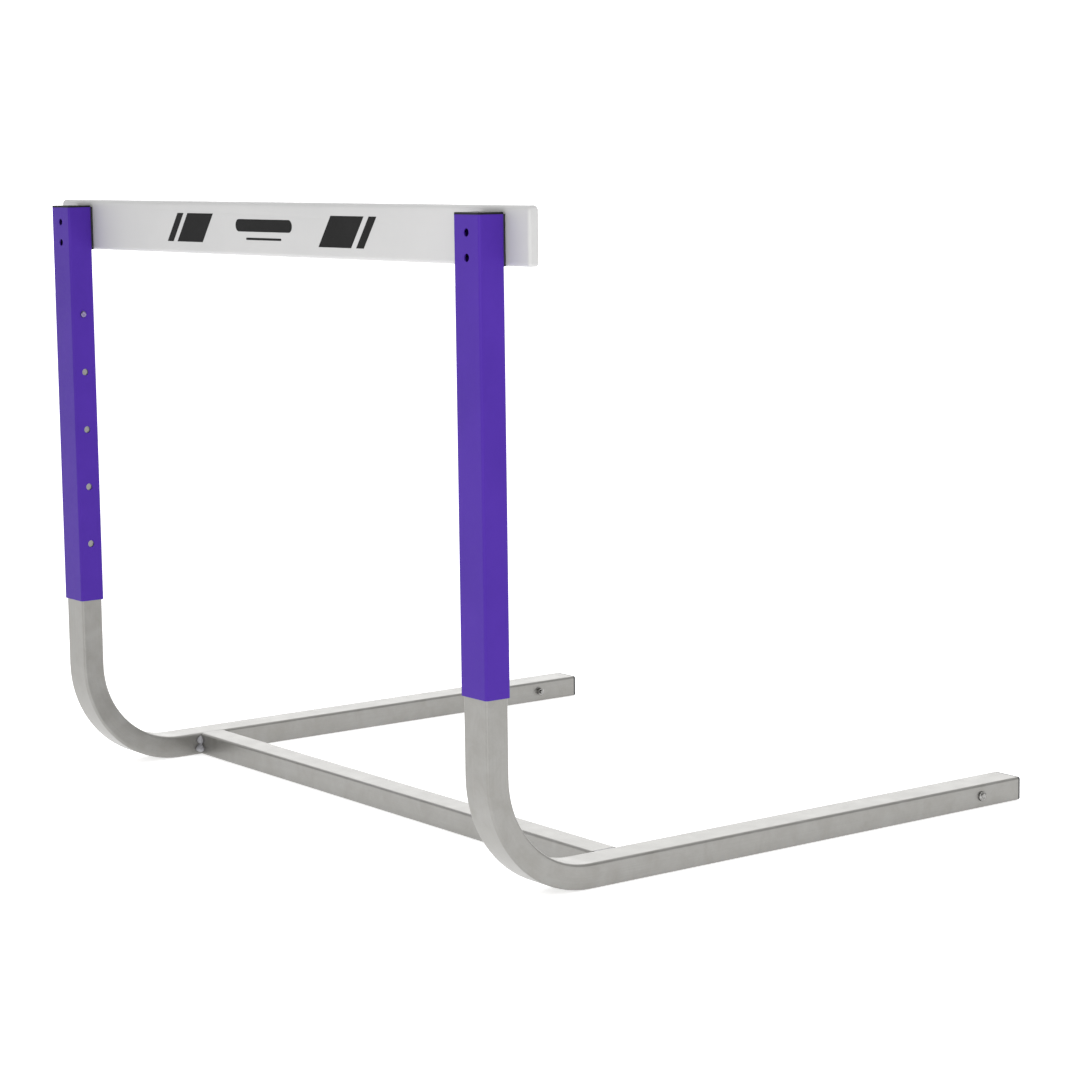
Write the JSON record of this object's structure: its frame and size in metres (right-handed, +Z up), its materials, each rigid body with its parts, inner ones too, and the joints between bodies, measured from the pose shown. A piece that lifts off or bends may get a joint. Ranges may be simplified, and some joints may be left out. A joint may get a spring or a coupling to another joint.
{
  "type": "track hurdle",
  "caption": "Adjustable track hurdle: L-shaped rectangular-tube base, telescoping sleeves with snap buttons, and a flat board across the top.",
  "frame": {"origin": "on the floor, under the middle of the hurdle's box", "axes": "+X along the board, +Y towards the feet's open ends, +Z up"},
  "size_m": [1.0414, 0.8294, 0.762],
  "materials": {
    "galvanised_tube": "dull zinc-plated rectangular tube",
    "weld_metal": "rough weld bead",
    "grey_plastic": "moulded plug",
    "cast_weight": "raw cast bar",
    "zinc_hardware": "bright zinc plate",
    "plated_button": "bright plated",
    "spring_steel": "blued spring strip",
    "purple_powder_coat": "satin powder coat",
    "black_plastic": "fine-grained moulding",
    "black_foam": "thin foam rubber",
    "white_board_plastic": "smooth extruded plastic with printed stripes",
    "white_cap_plastic": "smooth moulded plastic",
    "black_screw": "black oxide"
  },
  "bodies": {
    "base": {"cross_tube": "galvanised_tube", "base_leg_left": "galvanised_tube", "base_leg_right": "galvanised_tube", "weld_beads_left": "weld_metal", "weld_beads_right": "weld_metal", "foot_plug_left": "grey_plastic", "foot_plug_right": "grey_plastic", "counterweight_left": "cast_weight", "counterweight_right": "cast_weight", "weight_bolt_left": "zinc_hardware", "weight_bolt_right": "zinc_hardware", "weight_nut_left": "zinc_hardware", "weight_nut_right": "zinc_hardware", "button_spring_left": "spring_steel", "button_spring_right": "spring_steel"},
    "gate": {"gate_board": "white_board_plastic", "upright_sleeve_left": "purple_powder_coat", "upright_sleeve_right": "purple_powder_coat", "top_cap_left": "black_plastic", "top_cap_right": "black_plastic", "board_pad_left": "black_foam", "board_pad_right": "black_foam", "board_end_cap_left": "white_cap_plastic", "board_end_cap_right": "white_cap_plastic", "board_screws_left": "black_screw", "board_screws_right": "black_screw", "board_nuts_left": "zinc_hardware", "board_nuts_right": "zinc_hardware"},
    "snap_button_left": {"button_left": "plated_button"},
    "snap_button_right": {"button_right": "plated_button"}
  },
  "joints": [
    {"name": "gate_height", "type": "slide", "parent": "base", "child": "gate", "axis": [0, 0, 1], "range_m": [0, 0.3048], "deforming": ["button_left", "button_right", "button_spring_left", "button_spring_right"]},
    {"name": "button_press_left", "type": "slide", "parent": "base", "child": "snap_button_left", "axis": [-1, 0, 0], "range_m": [0, 0.0036], "stiffness_N_per_m": 1500, "deforming": ["button_spring_left"]},
    {"name": "button_press_right", "type": "slide", "parent": "base", "child": "snap_button_right", "axis": [1, 0, 0], "range_m": [0, 0.0036], "stiffness_N_per_m": 1500, "deforming": ["button_spring_right"]}
  ]
}
